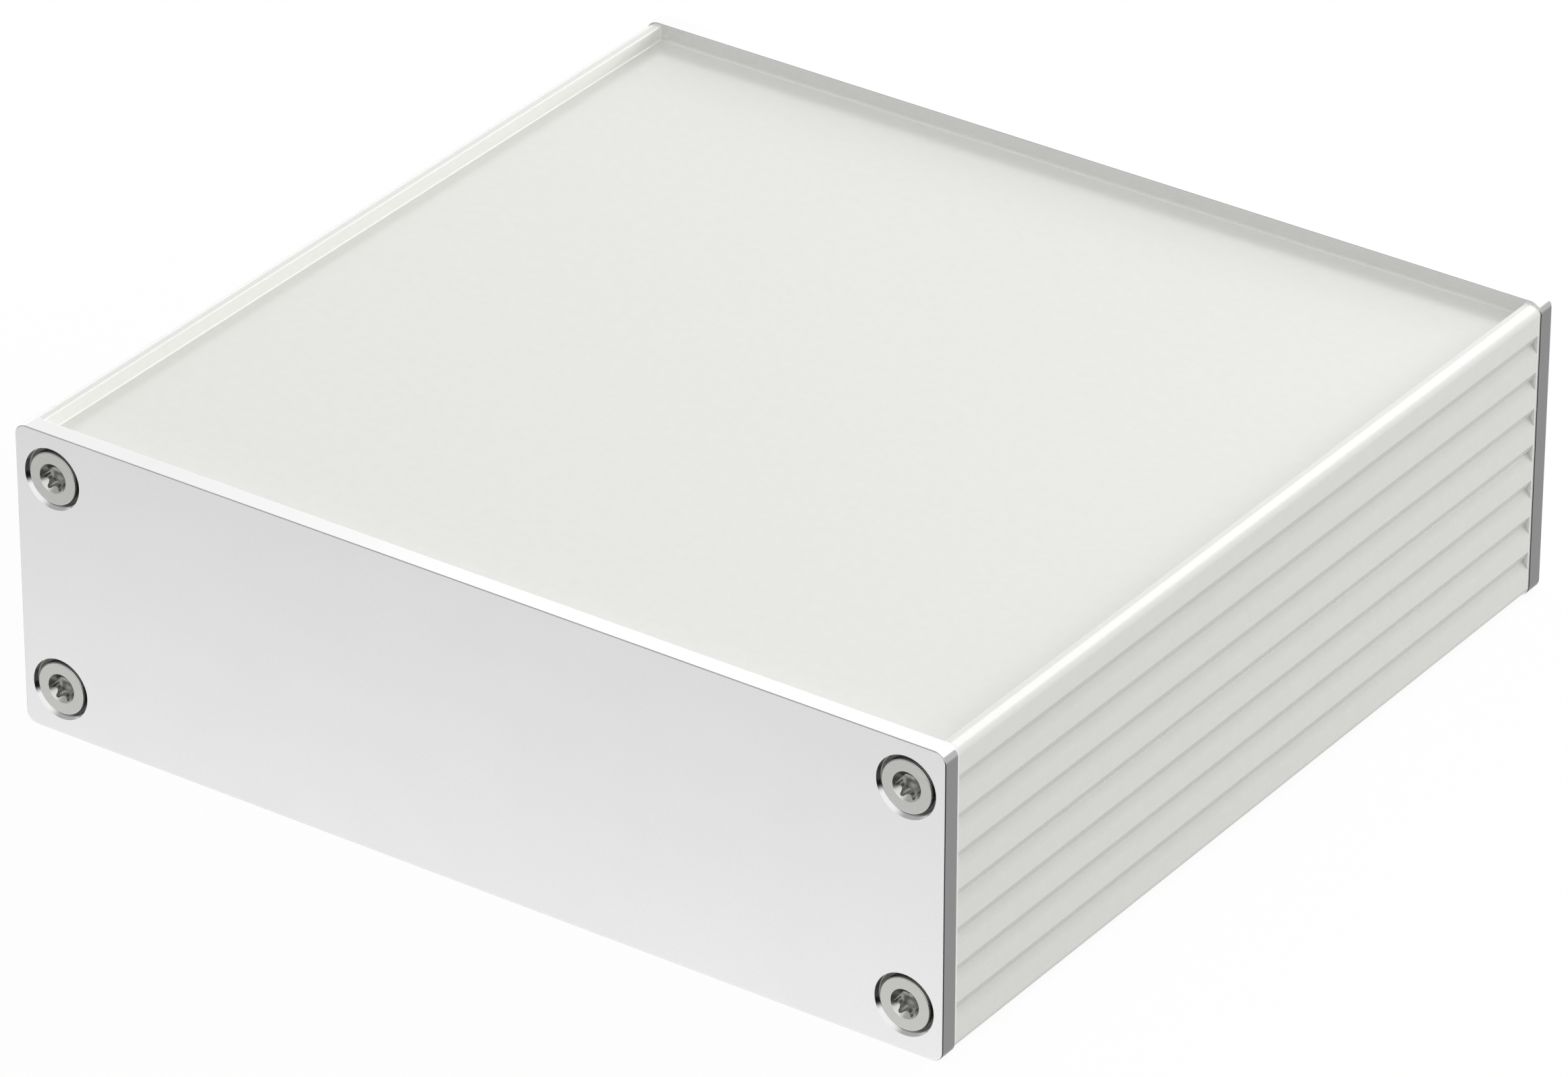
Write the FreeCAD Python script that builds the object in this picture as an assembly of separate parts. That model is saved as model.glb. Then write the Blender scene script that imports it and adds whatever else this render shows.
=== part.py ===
import FreeCAD, Part
import math
import os

# Extruded aluminium enclosure: two identical half shells, each an extrusion with a
# sunk field between two rails and ribbed sides, closed at both ends by a screwed plate.
# Frame: +X across the width, +Y from front to back, +Z up.
# Origin: on the standing surface, in the middle of the case. All sizes in millimetres.

Vector = FreeCAD.Vector

# Extruded case, outside
shell_length = 100.0
shell_width = 105.8
shell_height = 32.2
rail_width = 1.66
rail_outer_radius = 1.0
rail_inner_radius = 0.15
recess_depth = 1.5
recess_corner_radius = 0.2

# Ribbed sides: flat ribs with shallow V grooves between them
side_groove_count = 3
side_rib_height = 2.02
side_groove_width = 2.0
side_groove_depth = 0.45
side_groove_root_radius = 0.1
side_rib_edge_radius = 0.08
joint_edge_radius = 0.12

# Walls
side_wall = 2.5
field_wall = 1.8

# Tongue and groove where the half shells meet
joint_ledge_height = 2.2
tongue_width = 1.2
tongue_length = 1.2
tongue_tip_chamfer = 0.3
tongue_side_clearance = 0.1
tongue_end_clearance = 0.15

# Guides for a circuit board
board_thickness = 1.6
board_clearance = 0.2
guide_rib_count = 2
guide_rib_thickness = 1.0
guide_rib_depth = 1.8
guide_rib_radius = 0.3

# Open screw channels in the corners, into which the screws form their thread
channel_side_inset = 4.17
channel_top_inset = 4.57
channel_bore = 2.75
channel_wall = 1.3
channel_slit = 1.5

# End plates
plate_thickness = 2.0
plate_side_overhang = 0.1
plate_top_overhang = 0.25
plate_corner_radius = 1.2
plate_edge_chamfer = 0.05
plate_hole = 3.4

# Flat ring gaskets, which run outside the screws
gasket_thickness = 0.3

# Countersunk screws with a six-lobe socket
screw_length = 10.0
screw_core_clearance = 0.025
head_cone_diameter = 6.3
head_diameter = 5.5
head_sink = 0.1
head_seat_clearance = 0.02
socket_lobe_diameter = 2.8
socket_lobe_width = 0.45
socket_waist_diameter = 2.0
socket_depth = 1.3

# Sizes that follow from those above
half_width = shell_width / 2
half_height = shell_height / 2
field_height = half_height - recess_depth
inner_half_width = half_width - side_wall
inner_height = field_height - field_wall
guide_face = inner_half_width - guide_rib_depth
slot_height = board_thickness + board_clearance
joint_root = half_width - side_groove_depth
tongue_place = (guide_face + joint_root) / 2
channel_x = half_width - channel_side_inset
channel_z = half_height - channel_top_inset
channel_radius = channel_bore / 2 + channel_wall
plate_width = shell_width + 2 * plate_side_overhang
plate_height = shell_height + 2 * plate_top_overhang
axis_height = plate_height / 2
shell_end = shell_length / 2
plate_seat = shell_end + gasket_thickness
plate_face = plate_seat + plate_thickness
screw_core = channel_bore - 2 * screw_core_clearance
overcut = 1.0


def section_point(x, z):
    """Point of the cross section, which stands in the XZ plane."""
    return Vector(x, 0, z)


def rounded_outline(corners):
    """Closed wire through corners (x, z, radius), each rounded by a tangent arc."""
    points = [section_point(x, z) for x, z, radius in corners]
    starts = []
    ends = []
    middles = []
    for index, (x, z, radius) in enumerate(corners):
        corner = points[index]
        back = (points[index - 1] - corner).normalize()
        ahead = (points[(index + 1) % len(points)] - corner).normalize()
        if radius == 0:
            starts.append(corner)
            ends.append(corner)
            middles.append(None)
            continue
        half_angle = back.getAngle(ahead) / 2
        reach = radius / math.tan(half_angle)
        inward = (back + ahead).normalize()
        starts.append(corner + back * reach)
        ends.append(corner + ahead * reach)
        middles.append(corner + inward * (radius / math.sin(half_angle) - radius))
    edges = []
    for index in range(len(corners)):
        if middles[index] is not None:
            arc = Part.Arc(starts[index], middles[index], ends[index])
            edges.append(arc.toShape())
        following = starts[(index + 1) % len(corners)]
        if ends[index].distanceToPoint(following) > 1e-6:
            edges.append(Part.makeLine(ends[index], following))
    return Part.Wire(edges)


def rounded_face(corners):
    return Part.Face(rounded_outline(corners))


def box_face(x_low, z_low, x_high, z_high, radius=0):
    return rounded_face([
        (x_low, z_low, radius),
        (x_high, z_low, radius),
        (x_high, z_high, radius),
        (x_low, z_high, radius),
    ])


def disc(x, z, radius):
    circle = Part.makeCircle(radius, section_point(x, z), Vector(0, 1, 0))
    return Part.Face(Part.Wire(circle))


def extruded(face, start, length):
    """Solid between start and start + length along Y."""
    solid = face.extrude(Vector(0, length, 0))
    solid.translate(Vector(0, start, 0))
    return solid


def side_corners():
    """Right-hand outside of a half shell, from the joint up to the sunk field."""
    height = side_groove_width / 2
    corners = [
        (joint_root, 0, joint_edge_radius),
        (half_width, height, side_rib_edge_radius),
    ]
    for groove in range(side_groove_count):
        height += side_rib_height
        corners.append((half_width, height, side_rib_edge_radius))
        height += side_groove_width / 2
        corners.append((half_width - side_groove_depth, height, side_groove_root_radius))
        height += side_groove_width / 2
        corners.append((half_width, height, side_rib_edge_radius))
    corners.append((half_width, half_height, rail_outer_radius))
    corners.append((half_width - rail_width, half_height, rail_inner_radius))
    corners.append((half_width - rail_width, field_height, recess_corner_radius))
    return corners


def tongue_corners():
    """Tongue that stands out of the joint face on the right-hand side."""
    left = tongue_place - tongue_width / 2
    right = tongue_place + tongue_width / 2
    shoulder = tongue_tip_chamfer - tongue_length
    return [
        (left, 0, 0),
        (left, shoulder, 0),
        (left + tongue_tip_chamfer, -tongue_length, 0),
        (right - tongue_tip_chamfer, -tongue_length, 0),
        (right, shoulder, 0),
        (right, 0, 0),
    ]


def envelope():
    """Everything inside the outer surface of a half shell, with its tongue."""
    right = side_corners()
    left = [(-x, z, radius) for x, z, radius in reversed(right)]
    return rounded_face(tongue_corners() + right + left)


def inner_features(side):
    """Ledge, guide ribs and screw channel on one inner wall; side is +1 or -1."""
    wall = side * (inner_half_width + overcut)
    rib_face = side * guide_face
    near = min(wall, rib_face)
    far = max(wall, rib_face)
    ledge_low = -tongue_length - overcut
    features = [box_face(near, ledge_low, far, joint_ledge_height)]
    height = joint_ledge_height
    for rib in range(guide_rib_count):
        height += slot_height
        top = height + guide_rib_thickness
        features.append(box_face(near, height, far, top, guide_rib_radius))
        height = top
    features.append(disc(side * channel_x, channel_z, channel_radius))
    return features


def channel_cuts(side):
    """Bore of a screw channel and the slit that opens it towards the middle."""
    bore = disc(side * channel_x, channel_z, channel_bore / 2)
    inner_end = side * (channel_x - channel_radius - overcut)
    axis = side * channel_x
    slit = box_face(
        min(inner_end, axis),
        channel_z - channel_slit / 2,
        max(inner_end, axis),
        inner_height,
    )
    return [bore, slit]


def tongue_groove():
    half = tongue_width / 2 + tongue_side_clearance
    return box_face(
        -tongue_place - half,
        -overcut,
        -tongue_place + half,
        tongue_length + tongue_end_clearance,
    )


def shell_section():
    """Cross section of a half shell, with its joint face at height zero."""
    cavity = box_face(-inner_half_width, -overcut, inner_half_width, inner_height)
    cavity = cavity.cut(inner_features(1) + inner_features(-1))
    openings = [cavity, tongue_groove()] + channel_cuts(1) + channel_cuts(-1)
    return envelope().cut(openings)


def half_shell():
    return extruded(shell_section(), -shell_end, shell_length).Solids[0]


def rounded_rectangle(width, height, radius):
    return box_face(-width / 2, -height / 2, width / 2, height / 2, radius)


def screw_places():
    """The four screw axes, measured from the middle of the plate."""
    return [(side * channel_x, level * channel_z) for level in (1, -1) for side in (1, -1)]


def cone_between(y_low, y_high, radius_low, radius_high, x, z):
    """Cone along +Y between two heights."""
    base = Vector(x, y_low, z)
    return Part.makeCone(radius_low, radius_high, y_high - y_low, base, Vector(0, 1, 0))


def end_plate():
    """Front plate, outer face towards -Y, centred on the case axis."""
    outline = rounded_rectangle(plate_width, plate_height, plate_corner_radius)
    plate = extruded(outline, -plate_face, plate_thickness).Solids[0]
    rim = [edge for edge in plate.Edges if edge.BoundBox.YLength < 1e-6]
    plate = plate.makeChamfer(plate_edge_chamfer, rim)
    mouth = head_cone_diameter / 2 + head_sink
    sink_depth = mouth - plate_hole / 2
    for x, z in screw_places():
        hole = extruded(disc(x, z, plate_hole / 2), -plate_face - overcut, plate_thickness + 2 * overcut)
        sink = cone_between(
            -plate_face - overcut,
            -plate_face + sink_depth,
            mouth + overcut,
            plate_hole / 2,
            x,
            z,
        )
        plate = plate.cut(hole).cut(sink)
    return plate.Solids[0]


def gasket():
    """Front gasket: a flat ring with the outline of the case, rounded inside about the screws."""
    right = [
        (half_width - rail_width, -field_height, 0),
        (half_width - rail_width, -half_height, 0),
        (half_width, -half_height, rail_outer_radius),
        (half_width, half_height, rail_outer_radius),
        (half_width - rail_width, half_height, 0),
        (half_width - rail_width, field_height, 0),
    ]
    left = [(-x, z, radius) for x, z, radius in reversed(right)]
    screw_gap = plate_hole / 2
    window = rounded_rectangle(2 * (channel_x + screw_gap), 2 * (channel_z + screw_gap), screw_gap)
    ring = rounded_face(right + left).cut(window)
    return extruded(ring, -plate_seat, gasket_thickness).Solids[0]


def six_lobe_face():
    """Outline of a six-lobe driver socket: flat-ended lobes with a corner in each waist."""
    lobe = socket_lobe_diameter / 2
    lobe_half_angle = math.asin(socket_lobe_width / socket_lobe_diameter)
    waist = socket_waist_diameter / 2
    pitch = math.radians(60)
    points = []
    for index in range(6):
        middle = index * pitch
        stations = [(lobe, -lobe_half_angle), (lobe, lobe_half_angle), (waist, pitch / 2)]
        for radius, turn in stations:
            angle = middle + turn
            points.append(section_point(radius * math.cos(angle), radius * math.sin(angle)))
    return Part.Face(Part.makePolygon(points + points[:1]))


def screw():
    """Countersunk screw along +Y with its head face at zero."""
    head_radius = head_diameter / 2
    core_radius = screw_core / 2
    cone_start = head_cone_diameter / 2 - head_radius - head_seat_clearance
    cone_end = cone_start + head_radius - core_radius
    profile = Part.makePolygon([
        Vector(0, 0, 0),
        Vector(head_radius, 0, 0),
        Vector(head_radius, cone_start, 0),
        Vector(core_radius, cone_end, 0),
        Vector(core_radius, screw_length, 0),
        Vector(0, screw_length, 0),
        Vector(0, 0, 0),
    ])
    body = Part.Face(profile).revolve(Vector(0, 0, 0), Vector(0, 1, 0), 360)
    socket = extruded(six_lobe_face(), -overcut, overcut + socket_depth)
    return body.cut(socket).Solids[0]


def screw_set():
    """Four screws of the front plate, seated in their countersinks."""
    screws = []
    for x, z in screw_places():
        piece = screw()
        piece.translate(Vector(x, -plate_face + head_sink, z))
        screws.append(piece)
    return Part.makeCompound(screws)


def turned(shape, axis):
    """Copy turned half round about an axis through the middle of the case."""
    copy = shape.copy()
    copy.rotate(Vector(0, 0, 0), axis, 180)
    return copy


def export(name, shape):
    """Lift a piece from the case axis to its height and write it."""
    lifted = shape.copy()
    lifted.translate(Vector(0, 0, axis_height))
    lifted.exportStep(os.path.join("parts", name + ".step"))
    print(name, "solids", len(lifted.Solids), "valid", lifted.isValid(), "volume", round(lifted.Volume, 2))


def main():
    os.makedirs("parts", exist_ok=True)
    along = Vector(0, 1, 0)
    upright = Vector(0, 0, 1)
    shell = half_shell()
    plate = end_plate()
    seal = gasket()
    screws = screw_set()
    export("upper_half_shell", shell)
    export("lower_half_shell", turned(shell, along))
    export("front_end_plate", plate)
    export("rear_end_plate", turned(plate, upright))
    export("front_gasket", seal)
    export("rear_gasket", turned(seal, upright))
    export("front_plate_screws", screws)
    export("rear_plate_screws", turned(screws, upright))


main()
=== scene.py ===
import math

import bmesh
import bpy
from mathutils import Matrix, Vector


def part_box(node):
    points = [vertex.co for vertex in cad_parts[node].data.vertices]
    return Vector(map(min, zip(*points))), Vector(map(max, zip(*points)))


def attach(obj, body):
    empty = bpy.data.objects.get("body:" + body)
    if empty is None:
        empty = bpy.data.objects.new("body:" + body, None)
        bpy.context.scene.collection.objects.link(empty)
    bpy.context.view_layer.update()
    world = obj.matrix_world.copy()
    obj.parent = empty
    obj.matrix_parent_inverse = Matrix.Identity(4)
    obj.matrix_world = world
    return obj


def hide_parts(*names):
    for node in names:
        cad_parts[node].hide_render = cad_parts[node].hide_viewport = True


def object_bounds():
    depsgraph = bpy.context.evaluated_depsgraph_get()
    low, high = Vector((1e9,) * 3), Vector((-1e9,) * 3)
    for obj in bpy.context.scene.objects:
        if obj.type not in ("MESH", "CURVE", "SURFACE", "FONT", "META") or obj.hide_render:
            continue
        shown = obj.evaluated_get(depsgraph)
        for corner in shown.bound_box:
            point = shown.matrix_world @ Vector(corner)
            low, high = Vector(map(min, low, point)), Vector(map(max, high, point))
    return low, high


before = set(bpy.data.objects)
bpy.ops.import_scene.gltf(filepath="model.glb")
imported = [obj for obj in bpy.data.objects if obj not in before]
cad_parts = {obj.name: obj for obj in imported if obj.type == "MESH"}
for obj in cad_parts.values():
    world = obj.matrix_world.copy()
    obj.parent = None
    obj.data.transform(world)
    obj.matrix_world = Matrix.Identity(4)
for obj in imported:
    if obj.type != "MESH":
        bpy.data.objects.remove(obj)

cad_low, cad_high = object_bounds()
scene = bpy.context.scene

mm = 0.001
sharp_angle = 25.0

# Camera, fitted to the photograph: place and target in metres, angles in degrees
camera_place = Vector((0.46778, -0.67413, 0.48410))
camera_target = Vector((0.00020, -0.00168, 0.01375))
camera_roll = 0.094
focal_pixels = 14534.0
photo_width = 2323
sensor_width = 36.0

# Screws in metres; the head face lies at depth zero and the shank runs inwards
head_diameter = 0.0055
head_edge_radius = 0.00008
head_rim_height = 0.00038
screw_core = 0.0027
screw_length = 0.0100
screw_tip_chamfer = 0.0004
socket_mouth_diameter = 0.0031
socket_mouth_angle = 100.0
socket_lobe_diameter = 0.0028
socket_waist_diameter = 0.0020
socket_lobe_radius = 0.000229
socket_depth = 0.0011
socket_floor_rise = 0.00036
steps_per_lobe = 20
head_edge_steps = 4

# End plates, in millimetres: finer steps round the corners and countersinks than the frame has
plate_corner_radius = 1.2
plate_edge_radius = 0.09
plate_edge_steps = 4
flat_margin = 0.03
plate_hole = 3.4
sink_mouth_diameter = 6.5
corner_steps = 16
sink_steps = 128

# Extruded section of the shells, in metres
groove_depth = 0.00045
rail_rounding = 0.001
rail_width = 0.00166

# Linear colours, and tones by which a piece is lighter or darker in one place: painted shade in the
# grooves, on the plates' edges and on the screws, painted light on the rails' inner walls
shell_colour = (0.728, 0.733, 0.699)
groove_root_shade = 0.79
groove_edge_shade = 0.855
groove_roof_shade = 0.87
rail_wall_light = 1.10
plate_colour = (0.900, 0.900, 0.900)
edge_shade_tone = 0.56
gasket_colour = (0.920, 0.920, 0.900)
gasket_edge_tone = 0.87
steel_colour = (0.610, 0.615, 0.590)
socket_shade = 0.70
head_rim_shade = 0.82
screw_side_shade = 0.55

# Height of the fine surface relief, in metres
coat_relief = 0.000004
plate_relief = 0.0000005
gasket_relief = 0.000005
brush_relief = 0.000001

# Floor, surroundings and lamps
floor_reach = 4.0
floor_colour = (0.600, 0.600, 0.600)
floor_glow = 1.08
floor_glow_share = 0.85
ambient_level = 0.76
back_level = 0.93
front_lamp = (0.505, -0.703, 0.501)
dark_flag = (0.709, -0.499, -0.499)
lamp_size = (1.35, 0.53)


def new_object(name, data):
    item = bpy.data.objects.new(name, data)
    scene.collection.objects.link(item)
    return item


def make_camera():
    data = bpy.data.cameras.new("camera")
    data.sensor_width = sensor_width
    data.lens = focal_pixels / photo_width * sensor_width
    data.clip_start = 0.01
    data.clip_end = 10.0
    camera = new_object("camera", data)
    gaze = (camera_target - camera_place).to_track_quat("-Z", "Y")
    camera.matrix_world = Matrix.LocRotScale(camera_place, gaze, None) @ Matrix.Rotation(
        math.radians(camera_roll), 4, "Z"
    )
    scene.camera = camera


class Nodes:
    """Builds one node tree step by step."""

    def __init__(self, tree):
        self.tree = tree
        tree.nodes.clear()

    def add(self, kind, **settings):
        node = self.tree.nodes.new(kind)
        for name, value in settings.items():
            setattr(node, name, value)
        return node

    def feed(self, socket, source):
        if hasattr(source, "is_output"):
            self.tree.links.new(source, socket)
        else:
            socket.default_value = source

    def math(self, operation, *sources):
        node = self.add("ShaderNodeMath", operation=operation)
        for socket, source in zip(node.inputs, sources):
            self.feed(socket, source)
        return node.outputs[0]

    def split(self, vector):
        """The three coordinates of a vector."""
        node = self.add("ShaderNodeSeparateXYZ")
        self.feed(node.inputs[0], vector)
        return node.outputs

    def dot(self, vector, other):
        node = self.add("ShaderNodeVectorMath", operation="DOT_PRODUCT")
        self.feed(node.inputs[0], vector)
        node.inputs[1].default_value = other
        return node.outputs["Value"]

    def normal(self):
        """The three coordinates of the surface's normal."""
        return self.split(self.add("ShaderNodeNewGeometry").outputs["Normal"])

    def ramp(self, value, low, high, to_low=0.0, to_high=1.0):
        """Goes smoothly from to_low, where value is low, to to_high, where it is high."""
        node = self.add("ShaderNodeMapRange", interpolation_type="SMOOTHSTEP")
        for index, source in enumerate((value, low, high, to_low, to_high)):
            self.feed(node.inputs[index], source)
        return node.outputs[0]

    def noise(self, vector, scale, detail=2.0):
        node = self.add("ShaderNodeTexNoise")
        self.feed(node.inputs["Vector"], vector)
        node.inputs["Scale"].default_value = scale
        node.inputs["Detail"].default_value = detail
        return node.outputs["Fac"]

    def stretched(self, vector, scale):
        node = self.add("ShaderNodeMapping")
        self.feed(node.inputs["Vector"], vector)
        node.inputs["Scale"].default_value = scale
        return node.outputs[0]

    def tinted(self, colour, factor):
        """A colour made lighter or darker by a factor about 1."""
        node = self.add("ShaderNodeVectorMath", operation="SCALE")
        node.inputs[0].default_value = colour
        self.feed(node.inputs["Scale"], factor)
        return node.outputs[0]

    def bump(self, height, distance):
        node = self.add("ShaderNodeBump")
        self.feed(node.inputs["Height"], height)
        node.inputs["Distance"].default_value = distance
        return node.outputs[0]


def new_material(name):
    material = bpy.data.materials.new(name)
    material.use_nodes = True
    nodes = Nodes(material.node_tree)
    shader = nodes.add("ShaderNodeBsdfPrincipled")
    output = nodes.add("ShaderNodeOutputMaterial")
    nodes.tree.links.new(shader.outputs[0], output.inputs["Surface"])
    place = nodes.add("ShaderNodeTexCoord").outputs["Object"]
    return material, nodes, shader, place


def powder_coat():
    """Light grey powder coat: faint mottle, fine orange peel, painted shade on the groove walls and
    painted light on the rails' inner walls.
    """
    material, nodes, shader, place = new_material("powder_coat")
    mottle = nodes.noise(place, 900.0, 3.0)
    grain = nodes.noise(place, 4200.0, 2.0)
    spread = nodes.ramp(mottle, 0.2, 0.8, 0.988, 1.012)
    sideways, _, slope = nodes.normal()
    tilt = nodes.math("ABSOLUTE", slope)
    beyond_side = nodes.ramp(tilt, 0.05, 0.35)
    below_top = nodes.ramp(tilt, 0.45, 0.60, 1.0, 0.0)
    sloped = nodes.math("MULTIPLY", beyond_side, below_top)
    across, _, height = nodes.split(place)
    low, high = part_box("lower_half_shell")[0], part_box("upper_half_shell")[1]
    above_foot = nodes.ramp(height, low.z + rail_rounding, low.z + 2 * rail_rounding)
    below_rail = nodes.ramp(height, high.z - 2 * rail_rounding, high.z - rail_rounding, 1.0, 0.0)
    reach = nodes.math("ABSOLUTE", across)
    root = high.x - groove_depth
    into_root = nodes.ramp(reach, root - 0.2 * mm, root - 0.1 * mm)
    out_of_root = nodes.ramp(reach, root + 0.03 * mm, root + 0.1 * mm, 1.0, 0.0)
    deep = nodes.math("MULTIPLY", into_root, out_of_root)
    grooved = nodes.math("MAXIMUM", sloped, deep)
    on_side = nodes.math("MULTIPLY", above_foot, below_rail)
    groove = nodes.math("MULTIPLY", grooved, on_side)
    # Painted shade: groove walls are darkened, the upward wall most at its root and the downward
    # roof evenly
    groove_floor_shade = nodes.ramp(reach, root, high.x, groove_root_shade, groove_edge_shade)
    groove_shade = nodes.ramp(slope, -0.05, 0.05, groove_roof_shade, groove_floor_shade)
    side_tone = nodes.ramp(groove, 0.0, 1.0, 1.0, groove_shade)
    # Painted light: the inner walls of the rails are made lighter, standing in for light thrown
    # back from the top field
    inside = high.x - rail_width
    upright = nodes.ramp(nodes.math("ABSOLUTE", sideways), 0.5, 0.9)
    within_rails = nodes.ramp(reach, inside + 0.1 * mm, inside + 0.3 * mm, 1.0, 0.0)
    wall = nodes.math("MULTIPLY", upright, within_rails)
    tone = nodes.math("MULTIPLY", spread, nodes.ramp(wall, 0.0, 1.0, side_tone, rail_wall_light))
    nodes.feed(shader.inputs["Base Color"], nodes.tinted(shell_colour, tone))
    nodes.feed(shader.inputs["Roughness"], nodes.ramp(grain, 0.2, 0.8, 0.18, 0.26))
    shader.inputs["Specular IOR Level"].default_value = 0.8
    nodes.feed(shader.inputs["Normal"], nodes.bump(grain, coat_relief))
    return material


def satin_plate():
    """Clear anodised aluminium: satin faces; edges and countersinks that shine, with a darker base
    colour as painted shade.
    """
    material, nodes, shader, place = new_material("satin_plate")
    facing = nodes.math("ABSOLUTE", nodes.normal()[1])
    satin = nodes.ramp(facing, 0.90, 0.99)
    grain = nodes.noise(place, 6000.0, 3.0)
    cloud = nodes.noise(place, 120.0, 2.0)
    spread = nodes.ramp(cloud, 0.2, 0.8, 0.992, 1.008)
    # Painted shade: edges, narrow sides and countersinks get a darker base colour than the faces,
    # standing in for the darker surroundings they reflect
    tone = nodes.math("MULTIPLY", spread, nodes.ramp(satin, 0.0, 1.0, edge_shade_tone, 1.0))
    nodes.feed(shader.inputs["Base Color"], nodes.tinted(plate_colour, tone))
    shader.inputs["Metallic"].default_value = 1.0
    rough = nodes.ramp(grain, 0.2, 0.8, 0.22, 0.28)
    nodes.feed(shader.inputs["Roughness"], nodes.ramp(satin, 0.0, 1.0, 0.10, rough))
    nodes.feed(shader.inputs["Normal"], nodes.bump(grain, plate_relief))
    return material


def matt_silicone():
    """Pale silicone, a little darker along the cut edge of the ring."""
    material, nodes, shader, place = new_material("matt_silicone")
    grain = nodes.noise(place, 3000.0)
    facing = nodes.math("ABSOLUTE", nodes.normal()[1])
    cut = nodes.ramp(facing, 0.5, 0.9, gasket_edge_tone, 1.0)
    tone = nodes.math("MULTIPLY", nodes.ramp(grain, 0.2, 0.8, 0.98, 1.02), cut)
    nodes.feed(shader.inputs["Base Color"], nodes.tinted(gasket_colour, tone))
    shader.inputs["Roughness"].default_value = 0.7
    nodes.feed(shader.inputs["Normal"], nodes.bump(grain, gasket_relief))
    return material


def brushed_steel():
    """Stainless steel, brushed along X, with painted shade in the socket, on the rounded rim of the
    head and on the screw's sides.
    """
    material, nodes, shader, place = new_material("brushed_steel")
    lines = nodes.noise(nodes.stretched(place, (200.0, 5000.0, 5000.0)), 1.0, 2.0)
    shader.inputs["Metallic"].default_value = 1.0
    spread = nodes.ramp(lines, 0.2, 0.8, 0.97, 1.03)
    across, depth, height = nodes.split(place)
    squares = [nodes.math("POWER", side, 2.0) for side in (across, height)]
    from_axis = nodes.math("SQRT", nodes.math("ADD", *squares))
    mouth = socket_mouth_diameter / 2
    rim = head_diameter / 2 - head_edge_radius
    # Painted shade: a darker socket, a darker rounded rim on the head, and a still darker side down
    # in the countersink
    side_tone = nodes.ramp(depth, 0.03 * mm, 0.09 * mm, head_rim_shade, screw_side_shade)
    outer_tone = nodes.ramp(from_axis, rim - 0.03 * mm, rim + 0.02 * mm, 1.0, side_tone)
    head_tone = nodes.ramp(from_axis, mouth - 0.04 * mm, mouth, socket_shade, outer_tone)
    tone = nodes.math("MULTIPLY", spread, head_tone)
    nodes.feed(shader.inputs["Base Color"], nodes.tinted(steel_colour, tone))
    nodes.feed(shader.inputs["Roughness"], nodes.ramp(lines, 0.2, 0.8, 0.22, 0.30))
    nodes.feed(shader.inputs["Normal"], nodes.bump(lines, brush_relief))
    return material


def dress(node, material):
    """Gives a node of the frame its finish."""
    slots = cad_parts[node].data.materials
    slots.clear()
    slots.append(material)


def finished_mesh(name, shape):
    """Mesh of a finished shape, smooth apart from its sharp edges."""
    for face in shape.faces:
        face.smooth = True
    mesh = bpy.data.meshes.new(name)
    shape.to_mesh(mesh)
    shape.free()
    mesh.set_sharp_from_angle(angle=math.radians(sharp_angle))
    return mesh


def six_lobe_radius(angle):
    """Distance from the screw's axis to the six-lobe outline: lobes joined by tangent bulges."""
    lobe_radius = socket_lobe_radius
    lobe_centre = socket_lobe_diameter / 2 - lobe_radius
    waist = socket_waist_diameter / 2
    sixth = math.radians(60)
    root_three = math.sqrt(3)
    top = lobe_centre**2 + waist**2 - root_three * lobe_centre * waist - lobe_radius**2
    bulge_radius = top / (2 * lobe_radius + root_three * lobe_centre - 2 * waist)
    bulge_centre = waist + bulge_radius
    share = lobe_radius / (bulge_radius + lobe_radius)
    touch_x = lobe_centre + (bulge_centre * math.cos(sixth / 2) - lobe_centre) * share
    touch_y = bulge_centre * math.sin(sixth / 2) * share
    turn = abs((angle + sixth / 2) % sixth - sixth / 2)
    if turn < math.atan2(touch_y, touch_x):
        reach = lobe_radius**2 - (lobe_centre * math.sin(turn)) ** 2
        return lobe_centre * math.cos(turn) + math.sqrt(reach)
    turn = sixth / 2 - turn
    reach = bulge_radius**2 - (bulge_centre * math.sin(turn)) ** 2
    return bulge_centre * math.cos(turn) - math.sqrt(reach)


def screw_rings():
    """Profile of a screw from socket floor to tip: radius and depth of each ring by angle."""
    head = head_diameter / 2
    core = screw_core / 2
    mouth = socket_mouth_diameter / 2
    slope = math.tan(math.radians(socket_mouth_angle / 2))
    waist = socket_waist_diameter / 2

    def plain(radius, depth):
        return lambda angle: (radius, depth)

    def floor_edge(angle):
        return six_lobe_radius(angle), socket_depth

    def wall_top(angle):
        radius = six_lobe_radius(angle)
        return radius, (mouth - radius) / slope

    rings = [
        plain(waist * 0.5, socket_depth + socket_floor_rise * 0.5),
        plain(waist * 0.99, socket_depth),
        floor_edge,
        wall_top,
        plain(mouth, 0.0),
        plain(head - 1.3 * head_edge_radius, 0.0),
        plain(head - head_edge_radius, 0.0),
    ]
    for step in range(1, head_edge_steps + 1):
        turn = math.radians(90) * step / head_edge_steps
        radius = head - head_edge_radius * (1 - math.sin(turn))
        rings.append(plain(radius, head_edge_radius * (1 - math.cos(turn))))
    cone_end = head_rim_height + head - core
    rings.append(plain(head, head_rim_height))
    rings.append(plain(core, cone_end))
    rings.append(plain(core, screw_length - screw_tip_chamfer))
    rings.append(plain(core - screw_tip_chamfer, screw_length))
    return rings


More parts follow.
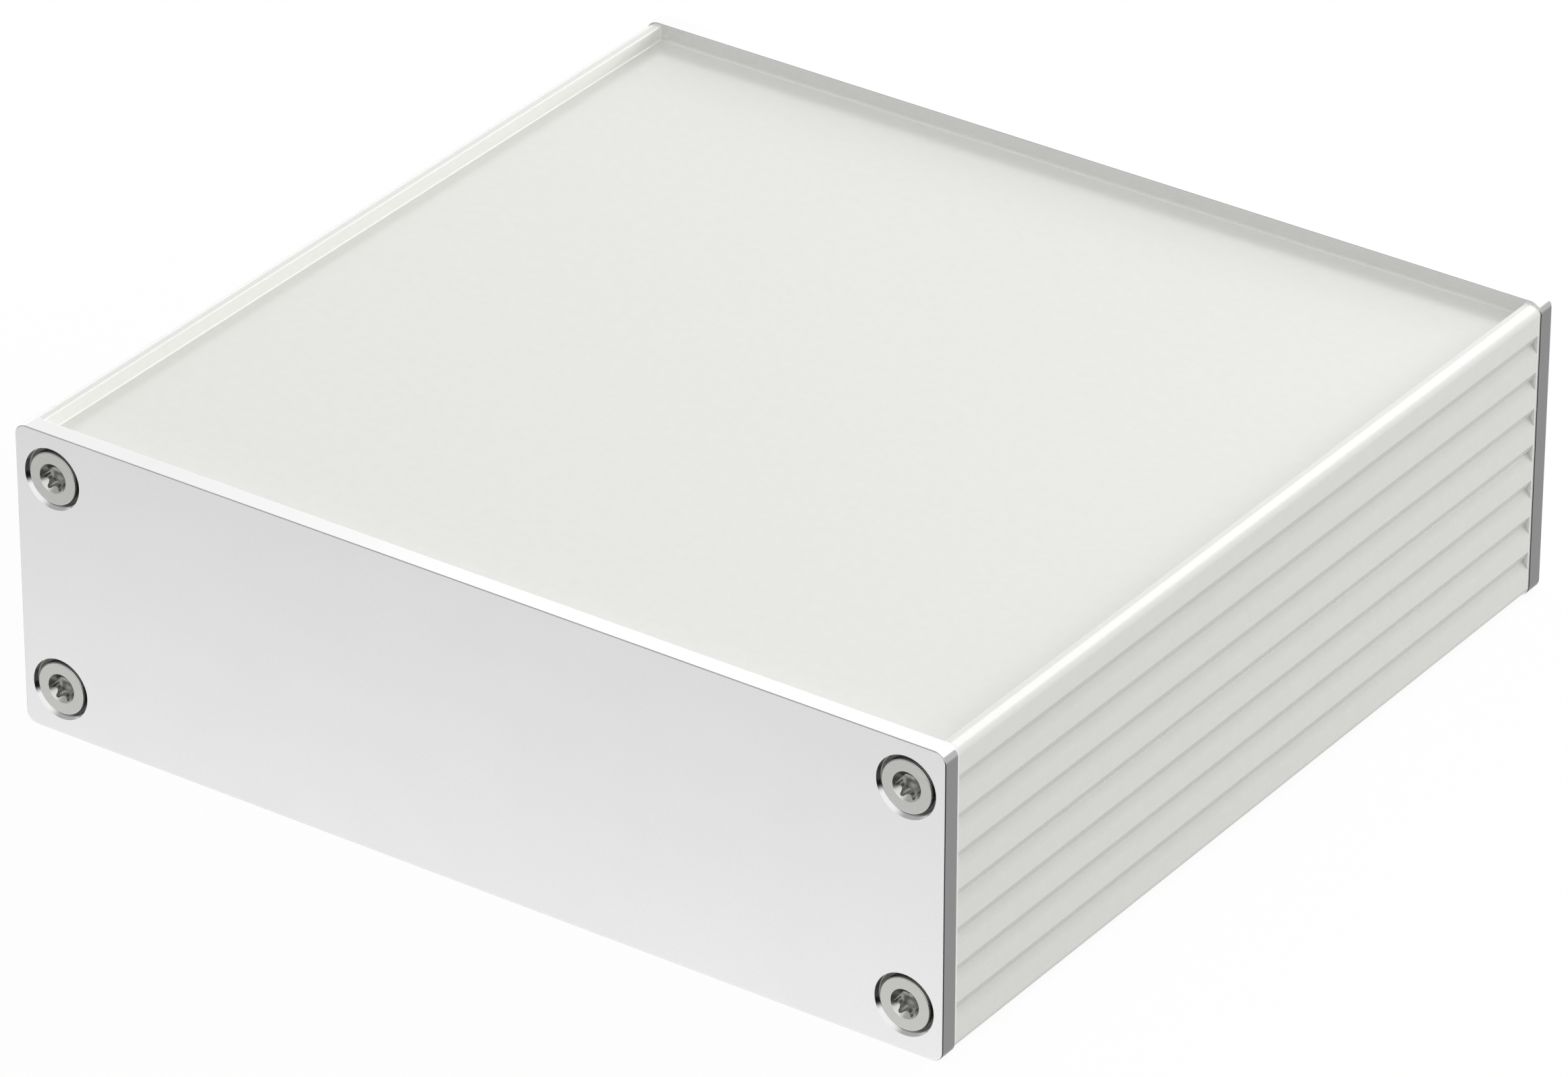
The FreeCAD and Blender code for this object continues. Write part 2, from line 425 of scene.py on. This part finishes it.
def screw_mesh():
    """Countersunk screw with a six-lobe socket, its axis along +Y and its head face at zero."""
    steps = steps_per_lobe * 6
    shape = bmesh.new()
    rows = []
    for ring in screw_rings():
        row = []
        for step in range(steps):
            angle = 2 * math.pi * step / steps
            radius, depth = ring(angle)
            row.append(shape.verts.new((radius * math.cos(angle), depth, radius * math.sin(angle))))
        rows.append(row)
    for inner, outer in zip(rows, rows[1:]):
        for step in range(steps):
            ahead = (step + 1) % steps
            shape.faces.new((inner[step], inner[ahead], outer[ahead], outer[step]))
    bottom = shape.verts.new((0, socket_depth + socket_floor_rise, 0))
    tip = shape.verts.new((0, screw_length, 0))
    for step in range(steps):
        ahead = (step + 1) % steps
        shape.faces.new((rows[0][ahead], rows[0][step], bottom))
        shape.faces.new((rows[-1][step], rows[-1][ahead], tip))
    bmesh.ops.recalc_face_normals(shape, faces=shape.faces)
    return finished_mesh("screw", shape)


def place_screws(material):
    """Four screws at each end, where the frame has its plain ones."""
    mesh = screw_mesh()
    mesh.materials.append(material)
    head = head_diameter / 2
    for end, outward in (("front", -1), ("rear", 1)):
        node = end + "_plate_screws"
        low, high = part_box(node)
        face = low.y if outward < 0 else high.y
        number = 0
        for z in (high.z - head, low.z + head):
            for x in (low.x + head, high.x - head):
                number += 1
                piece = new_object(end + "_screw_" + str(number), mesh)
                turn = Matrix.Rotation(math.pi if outward > 0 else 0.0, 4, "Z")
                piece.matrix_world = Matrix.Translation((x, face, z)) @ turn
                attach(piece, "root")
                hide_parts(node)


def plate_mesh():
    """Front end plate with its outer face towards -Y, built in millimetres, then scaled."""
    low, high = (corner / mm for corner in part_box("front_end_plate"))
    screws_low, screws_high = (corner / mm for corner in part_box("front_plate_screws"))
    thickness = high.y - low.y
    head = head_diameter / mm / 2
    shape = bmesh.new()

    def outline(inset, depth):
        row = []
        for quarter, (right, upper) in enumerate(((1, 1), (0, 1), (0, 0), (1, 0))):
            x = high.x - plate_corner_radius if right else low.x + plate_corner_radius
            z = high.z - plate_corner_radius if upper else low.z + plate_corner_radius
            for step in range(corner_steps + 1):
                angle = math.radians(90) * (quarter + step / corner_steps)
                reach = plate_corner_radius - inset
                place = (x + reach * math.cos(angle), low.y + depth, z + reach * math.sin(angle))
                row.append(shape.verts.new(place))
        return row

    def circle(x, z, radius, depth):
        row = []
        for step in range(sink_steps):
            angle = 2 * math.pi * step / sink_steps
            place = (x + radius * math.cos(angle), low.y + depth, z + radius * math.sin(angle))
            row.append(shape.verts.new(place))
        return row

    def band(rows):
        """Faces between neighbouring rows. Gives back the edges of the first and last rows."""
        for near, far in zip(rows, rows[1:]):
            for step in range(len(near)):
                shape.faces.new((near[step - 1], near[step], far[step], far[step - 1]))
        loops = []
        for row in (rows[0], rows[-1]):
            loops.append([shape.edges.get((row[step - 1], row[step])) for step in range(len(row))])
        return loops

    def rim():
        """Rows over the front edge: flat face, rounding and start of the narrow side."""
        places = [(plate_edge_radius + flat_margin, 0.0)]
        for step in range(plate_edge_steps + 1):
            turn = math.radians(90) * step / plate_edge_steps
            inset = plate_edge_radius * (1 - math.sin(turn))
            places.append((inset, plate_edge_radius * (1 - math.cos(turn))))
        places.append((0.0, plate_edge_radius + flat_margin))
        return places

    rows = [outline(inset, depth) for inset, depth in rim()]
    rows += [outline(inset, thickness - depth) for inset, depth in reversed(rim())]
    face, back = band(rows)
    mouth = sink_mouth_diameter / 2
    hole = plate_hole / 2
    for z in (screws_high.z - head, screws_low.z + head):
        for x in (screws_low.x + head, screws_high.x - head):
            rows = [circle(x, z, mouth, 0.0)]
            rows.append(circle(x, z, hole, mouth - hole))
            rows.append(circle(x, z, hole, thickness))
            outer, inner = band(rows)
            face += outer
            back += inner
    for edges in (face, back):
        bmesh.ops.triangle_fill(shape, edges=edges, use_beauty=True)
    bmesh.ops.recalc_face_normals(shape, faces=shape.faces)
    bmesh.ops.scale(shape, vec=(mm, mm, mm), verts=shape.verts)
    return finished_mesh("end_plate", shape)


def place_plates(material):
    """The two end plates; the rear one is the front one turned half round."""
    mesh = plate_mesh()
    mesh.materials.append(material)
    for end, turn in (("front", 0.0), ("rear", math.pi)):
        piece = new_object(end + "_plate", mesh)
        piece.matrix_world = Matrix.Rotation(turn, 4, "Z")
        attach(piece, "root")
        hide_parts(end + "_end_plate")


def make_floor():
    """White floor that keeps the soft shadow of the case."""
    far = floor_reach
    mesh = bpy.data.meshes.new("floor")
    corners = [(-far, -far, 0), (far, -far, 0), (far, far, 0), (-far, far, 0)]
    mesh.from_pydata(corners, [], [(0, 1, 2, 3)])
    floor = new_object("floor", mesh)
    material = bpy.data.materials.new("floor_paper")
    material.use_nodes = True
    nodes = Nodes(material.node_tree)
    paper = nodes.add("ShaderNodeBsdfDiffuse")
    paper.inputs["Color"].default_value = (*floor_colour, 1)
    glow = nodes.add("ShaderNodeEmission")
    glow.inputs["Color"].default_value = (1, 1, 1, 1)
    glow.inputs["Strength"].default_value = floor_glow
    mix = nodes.add("ShaderNodeMixShader")
    camera_ray = nodes.add("ShaderNodeLightPath").outputs["Is Camera Ray"]
    nodes.feed(mix.inputs[0], nodes.math("MULTIPLY", camera_ray, floor_glow_share))
    nodes.feed(mix.inputs[1], paper.outputs[0])
    nodes.feed(mix.inputs[2], glow.outputs[0])
    output = nodes.add("ShaderNodeOutputMaterial")
    nodes.feed(output.inputs["Surface"], mix.outputs[0])
    mesh.materials.append(material)
    floor.visible_glossy = False


def studio_level(nodes, direction):
    """What shiny surfaces see: a soft box behind, a lamp in front and a darker floor."""
    x, y, z = nodes.split(direction)

    # Upper back: the soft box, brightest in its core, over a pale wall
    box_side = nodes.ramp(x, -0.57, -0.50, 0.75, 1.08)
    box_core = nodes.ramp(x, -0.44, -0.36, 0.0, 2.2)
    horizon = nodes.ramp(z, 0.20, 0.45, 0.6, 0.0)
    box_level = nodes.math("ADD", nodes.math("ADD", box_side, box_core), horizon)
    box_foot = nodes.ramp(z, -0.05, 0.15)
    box_top = nodes.ramp(z, 0.78, 0.95, 1.0, 0.15)
    box_right = nodes.ramp(x, 0.40, 0.62, 1.0, 0.0)
    box_shape = nodes.math("MULTIPLY", nodes.math("MULTIPLY", box_foot, box_top), box_right)
    wall = nodes.ramp(x, -0.69, -0.61, back_level + 0.8, back_level)
    back = nodes.math("ADD", nodes.math("MULTIPLY", box_shape, box_level), wall)

    # Upper front: pale, with the lamp
    front = nodes.ramp(nodes.dot(direction, front_lamp), 0.55, 0.95, 0.75, 1.7)
    above = nodes.ramp(y, -0.3, 0.5, front, back)

    # Lower half: light below the front, grey behind, dark underneath and at the flag
    steepness = nodes.math("DIVIDE", z, nodes.math("ABSOLUTE", y))
    low_front = nodes.ramp(steepness, -0.95, -0.55, 1.46, 0.26)
    low_front = nodes.math("MULTIPLY", low_front, nodes.ramp(x, -0.62, -0.47, 0.925, 1.03))
    low_middle = nodes.ramp(y, -0.50, -0.10, low_front, 0.20)
    low = nodes.ramp(y, 0.30, 0.65, low_middle, 0.50)
    shade = nodes.ramp(nodes.dot(direction, dark_flag), 0.45, 0.90, 1.0, 0.06)
    below = nodes.math("MULTIPLY", low, shade)

    # The two halves meet lower down where neither the front plate nor its screws look
    join_low = nodes.ramp(y, -0.40, -0.10, -0.20, -0.45)
    join_high = nodes.ramp(y, -0.40, -0.10, 0.15, -0.10)
    return nodes.ramp(z, join_low, join_high, below, above)


def make_world():
    """White surroundings for the camera, plain light for matt surfaces, a studio for shiny ones."""
    world = bpy.data.worlds.new("studio")
    scene.world = world
    world.use_nodes = True
    nodes = Nodes(world.node_tree)
    path = nodes.add("ShaderNodeLightPath")
    direction = nodes.add("ShaderNodeTexCoord").outputs["Generated"]
    level = nodes.add("ShaderNodeMix")
    nodes.feed(level.inputs["Factor"], path.outputs["Is Glossy Ray"])
    nodes.feed(level.inputs["A"], ambient_level)
    nodes.feed(level.inputs["B"], studio_level(nodes, direction))
    seen = nodes.add("ShaderNodeMix")
    nodes.feed(seen.inputs["Factor"], path.outputs["Is Camera Ray"])
    nodes.feed(seen.inputs["A"], level.outputs[0])
    nodes.feed(seen.inputs["B"], 1.0)
    background = nodes.add("ShaderNodeBackground")
    background.inputs["Color"].default_value = (1, 1, 1, 1)
    nodes.feed(background.inputs["Strength"], seen.outputs[0])
    output = nodes.add("ShaderNodeOutputWorld")
    nodes.feed(output.inputs["Surface"], background.outputs[0])
    world.cycles.sampling_method = "NONE"


def area_light(name, place, watts):
    """Soft lamp that points at the middle of the case."""
    data = bpy.data.lights.new(name, "AREA")
    data.shape = "ELLIPSE"
    data.size, data.size_y = lamp_size
    data.energy = watts
    lamp = new_object(name, data)
    place = Vector(place)
    aim = Vector((0, 0, (cad_low.z + cad_high.z) / 2)) - place
    lamp.matrix_world = Matrix.LocRotScale(place, aim.to_track_quat("-Z", "Y"), None)
    lamp.visible_camera = False
    lamp.visible_glossy = False


def make_lights():
    area_light("back_right_low", (0.942, 2.019, 0.314), 29.7)
    area_light("back_right_mid", (1.227, 1.753, 0.696), 7.2)


make_camera()
make_world()
make_lights()
make_floor()
coat = powder_coat()
metal = satin_plate()
seal = matt_silicone()
steel = brushed_steel()
for half in ("upper_half_shell", "lower_half_shell"):
    dress(half, coat)
for end in ("front", "rear"):
    dress(end + "_gasket", seal)
place_plates(metal)
place_screws(steel)
scene.view_settings.view_transform = "Standard"
